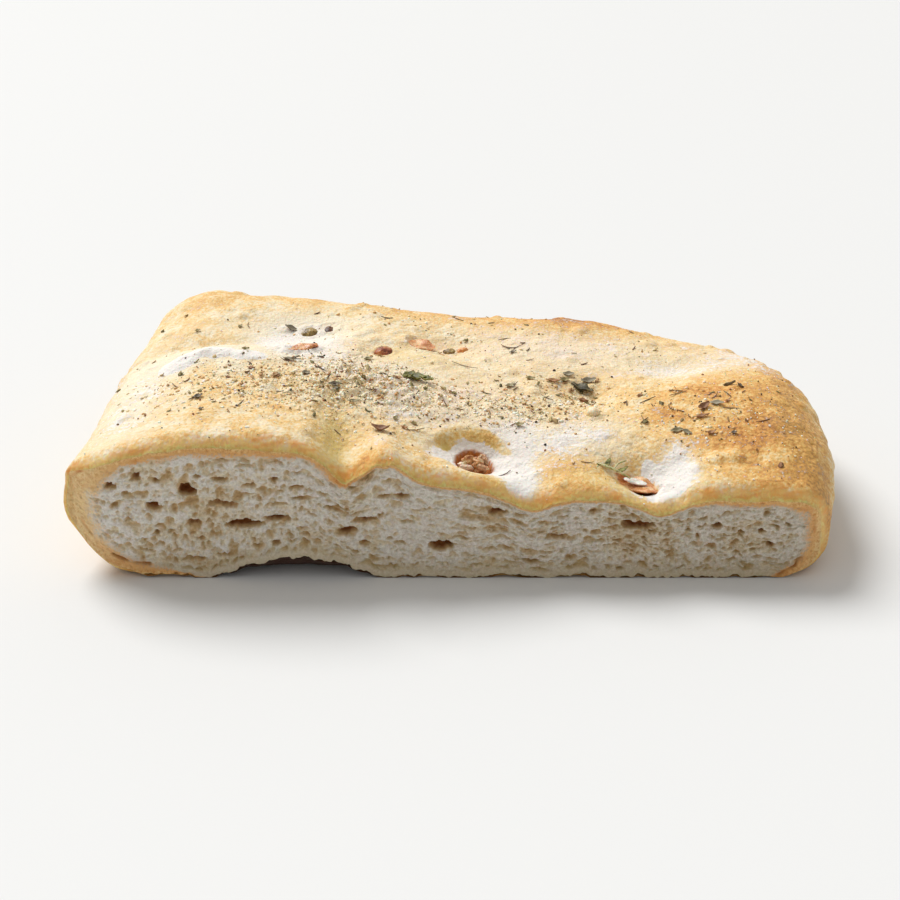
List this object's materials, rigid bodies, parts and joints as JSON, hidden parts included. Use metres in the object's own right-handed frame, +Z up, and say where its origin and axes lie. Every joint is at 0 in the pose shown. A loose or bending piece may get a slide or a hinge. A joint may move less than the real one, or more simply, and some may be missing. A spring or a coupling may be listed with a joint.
{
  "type": "gluten-free focaccia",
  "caption": "Thick end of a baked flatbread slab, cut straight across in front, with an open crumb, a dimpled floury crust and herbs and vegetable pieces on top.",
  "frame": {"origin": "on the surface that the bread lies on, under the middle of its bounding box", "axes": "+X along the cut face to the thinner end, +Y away from the cut face towards the back crust, +Z up"},
  "size_m": [0.2048, 0.1286, 0.0424],
  "materials": {
    "bread": "floury golden crust with a pale open crumb",
    "roasted_garlic": "browned and crumpled, slightly oily",
    "roasted_onion": "browned, thin and slightly oily",
    "pale_garlic": "smooth and pale",
    "herb": "dry green leaf",
    "dark_herb": "dry dark leaf",
    "olive": "smooth green flesh, slightly oily",
    "dark_olive": "wrinkled dark skin, slightly oily",
    "red_pepper": "roasted red flesh",
    "orange_pepper": "roasted orange flesh"
  },
  "bodies": {
    "root": {"bread": "bread", "garlic_front": "roasted_garlic", "onion_petal_right": "roasted_onion", "garlic_sliver_right": "pale_garlic", "herb_sprig_right": "herb", "olive_piece_back": "olive", "dark_olive_piece_back": "dark_olive", "onion_strip_back": "roasted_onion", "pepper_piece_middle": "red_pepper", "onion_petal_back": "roasted_onion", "olive_bit_back": "olive", "orange_bit_back": "orange_pepper", "herb_clump_middle": "herb", "dark_leaf_right": "dark_herb", "pale_seed_right": "pale_garlic"}
  },
  "joints": []
}
